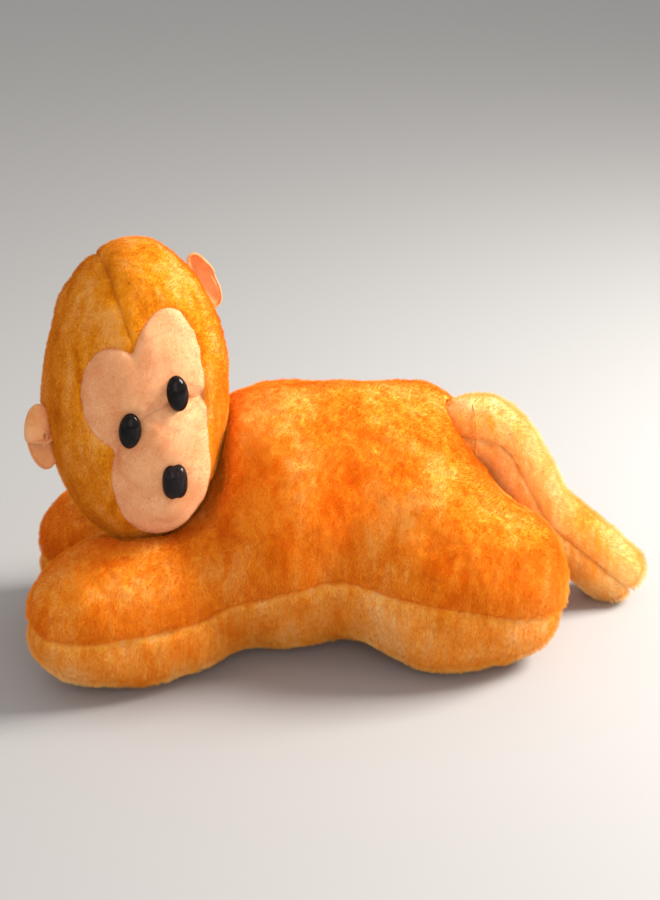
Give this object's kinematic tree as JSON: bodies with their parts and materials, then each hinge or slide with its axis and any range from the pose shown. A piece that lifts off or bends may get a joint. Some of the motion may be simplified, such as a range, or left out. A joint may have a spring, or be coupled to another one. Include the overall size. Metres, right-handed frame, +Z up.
{
  "type": "stuffed toy monkey",
  "caption": "Lying plush monkey pillow with a turning head, velour face, domed button eyes and nose, folding ears and a tail that lifts.",
  "frame": {"origin": "centre of the toy's footprint on the surface it lies on", "axes": "+Z up, +X from the head to the tail, -Y towards the side that the face looks to"},
  "size_m": [0.4706, 0.266, 0.313],
  "materials": {
    "plush_fur": "short dense golden orange pile, soft and matt",
    "face_velour": "very short peach velour, matt",
    "ear_velour": "very short tan peach velour, matt",
    "fibre_filling": "loose white polyester fibre",
    "sewing_thread": "twisted polyester thread",
    "button_black": "polished near-black",
    "nose_black": "polished black with a warm tint",
    "washer_plastic": "natural moulded plastic"
  },
  "bodies": {
    "torso": {"back_cover": "plush_fur", "belly_cover": "plush_fur", "torso_filling": "fibre_filling", "closing_stitch": "sewing_thread", "neck_sleeve": "plush_fur", "neck_filling": "fibre_filling"},
    "head": {"head_cover_left": "plush_fur", "head_cover_right": "plush_fur", "face_mask": "face_velour", "muzzle_cover": "face_velour", "neck_socket": "plush_fur", "neck_stitch": "sewing_thread", "head_filling": "fibre_filling", "muzzle_filling": "fibre_filling", "eye_left": "button_black", "eye_right": "button_black", "nose": "nose_black", "eye_washer_left": "washer_plastic", "eye_washer_right": "washer_plastic", "nose_washer": "washer_plastic"},
    "ear_left": {"ear_left_front": "ear_velour", "ear_left_back": "plush_fur"},
    "ear_right": {"ear_right_front": "ear_velour", "ear_right_back": "plush_fur"},
    "tail": {"tail_cover_top": "plush_fur", "tail_cover_under": "plush_fur", "tail_filling": "fibre_filling", "tail_stitch": "sewing_thread"}
  },
  "joints": [
    {"name": "head_turn", "type": "hinge", "parent": "torso", "child": "head", "pos_m": [-0.1495, -0.012, 0.20302], "axis": [0.0401, 0, 0.9992], "range_deg": [-30, 20], "stiffness_Nm_per_rad": 0.2},
    {"name": "ear_left_fold", "type": "hinge", "parent": "head", "child": "ear_left", "pos_m": [-0.21633, -0.01891, 0.17751], "axis": [-0.1093, -0.0047, 0.994], "range_deg": [-15, 25], "stiffness_Nm_per_rad": 0.01},
    {"name": "ear_right_fold", "type": "hinge", "parent": "head", "child": "ear_right", "pos_m": [-0.0983, 0.0075, 0.27508], "axis": [0.4176, 0.076, -0.9054], "range_deg": [-15, 25], "stiffness_Nm_per_rad": 0.01},
    {"name": "tail_lift", "type": "hinge", "parent": "torso", "child": "tail", "pos_m": [0.0935, 0.003, 0.15002], "axis": [0, -1, 0], "range_deg": [0, 40]}
  ]
}
